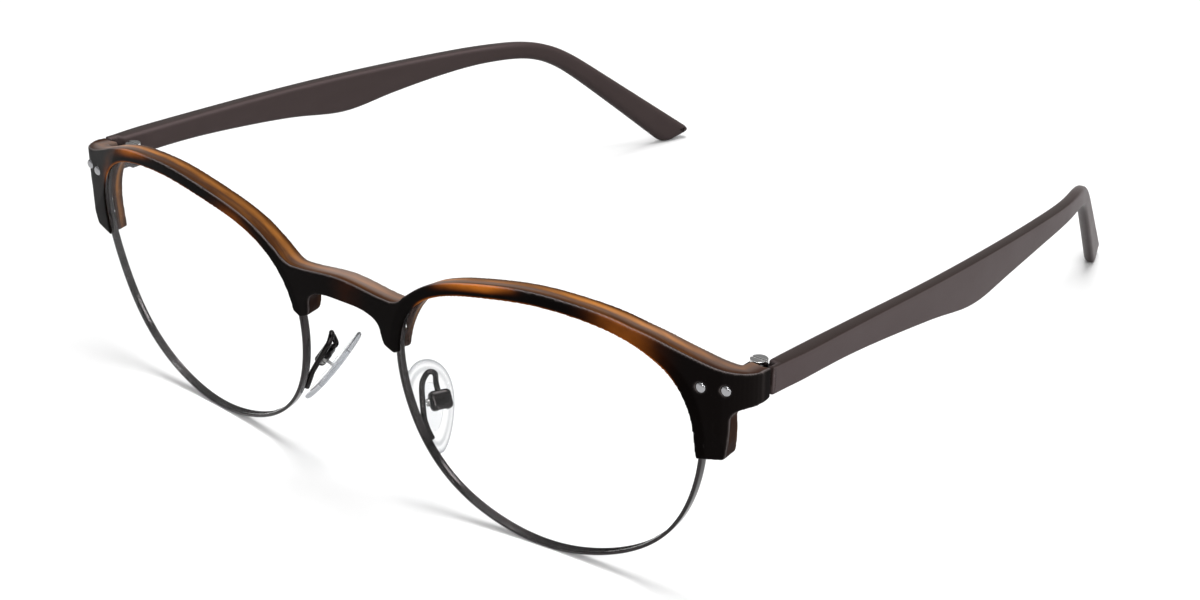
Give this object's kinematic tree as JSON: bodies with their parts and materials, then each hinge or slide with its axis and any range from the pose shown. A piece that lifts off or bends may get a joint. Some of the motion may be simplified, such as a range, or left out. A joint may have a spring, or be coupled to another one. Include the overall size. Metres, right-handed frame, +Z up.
{
  "type": "half rim eyeglasses",
  "caption": "Half rim browline eyeglasses: acetate brow bar over thin metal eyewires, clear lenses, folding temples and rocking clear nose pads.",
  "frame": {"origin": "middle of the footprint, on the table that the open eyeglasses stand on", "axes": "+X to the wearer's left, the front faces -Y and the temples run to +Y, +Z up"},
  "size_m": [0.1342, 0.149, 0.0426],
  "materials": {
    "brow_acetate": "satin tortoise acetate",
    "temple_acetate": "matte dark brown acetate",
    "gunmetal": "satin gunmetal plating",
    "steel": "satin",
    "bright_steel": "polished",
    "clear_lens": "clear, coated",
    "clear_insert": "clear",
    "clear_silicone": "clear, soft"
  },
  "bodies": {
    "front": {"brow_bar": "brow_acetate", "left_eyewire": "gunmetal", "right_eyewire": "gunmetal", "left_lens": "clear_lens", "right_lens": "clear_lens", "left_rim_screw": "steel", "right_rim_screw": "steel", "left_brow_screw": "steel", "right_brow_screw": "steel", "left_rivet_inner": "bright_steel", "right_rivet_inner": "bright_steel", "left_rivet_outer": "bright_steel", "right_rivet_outer": "bright_steel", "left_hinge_front": "gunmetal", "right_hinge_front": "gunmetal", "left_hinge_screw": "bright_steel", "right_hinge_screw": "bright_steel", "left_pad_arm": "gunmetal", "right_pad_arm": "gunmetal", "left_pad_box": "gunmetal", "right_pad_box": "gunmetal", "left_pad_screw": "steel", "right_pad_screw": "steel"},
    "left_temple_arm": {"left_temple": "temple_acetate", "left_temple_core": "steel", "left_hinge_temple": "gunmetal"},
    "left_pad": {"left_pad_insert": "clear_insert", "left_nose_pad": "clear_silicone"},
    "right_temple_arm": {"right_temple": "temple_acetate", "right_temple_core": "steel", "right_hinge_temple": "gunmetal"},
    "right_pad": {"right_pad_insert": "clear_insert", "right_nose_pad": "clear_silicone"}
  },
  "joints": [
    {"name": "left_fold", "type": "hinge", "parent": "front", "child": "left_temple_arm", "pos_m": [0.06267, -0.05821, 0.03397], "axis": [0, 0, 1], "range_deg": [0, 85]},
    {"name": "left_pad_rock", "type": "hinge", "parent": "front", "child": "left_pad", "pos_m": [0.01175, -0.0658, 0.0151], "axis": [0.4695, 0.8829, 0], "range_deg": [-1, 8]},
    {"name": "right_fold", "type": "hinge", "parent": "front", "child": "right_temple_arm", "pos_m": [-0.06267, -0.05821, 0.03397], "axis": [0, 0, -1], "range_deg": [0, 79]},
    {"name": "right_pad_rock", "type": "hinge", "parent": "front", "child": "right_pad", "pos_m": [-0.01175, -0.0658, 0.0151], "axis": [0.4695, -0.8829, 0], "range_deg": [-1, 8]}
  ]
}
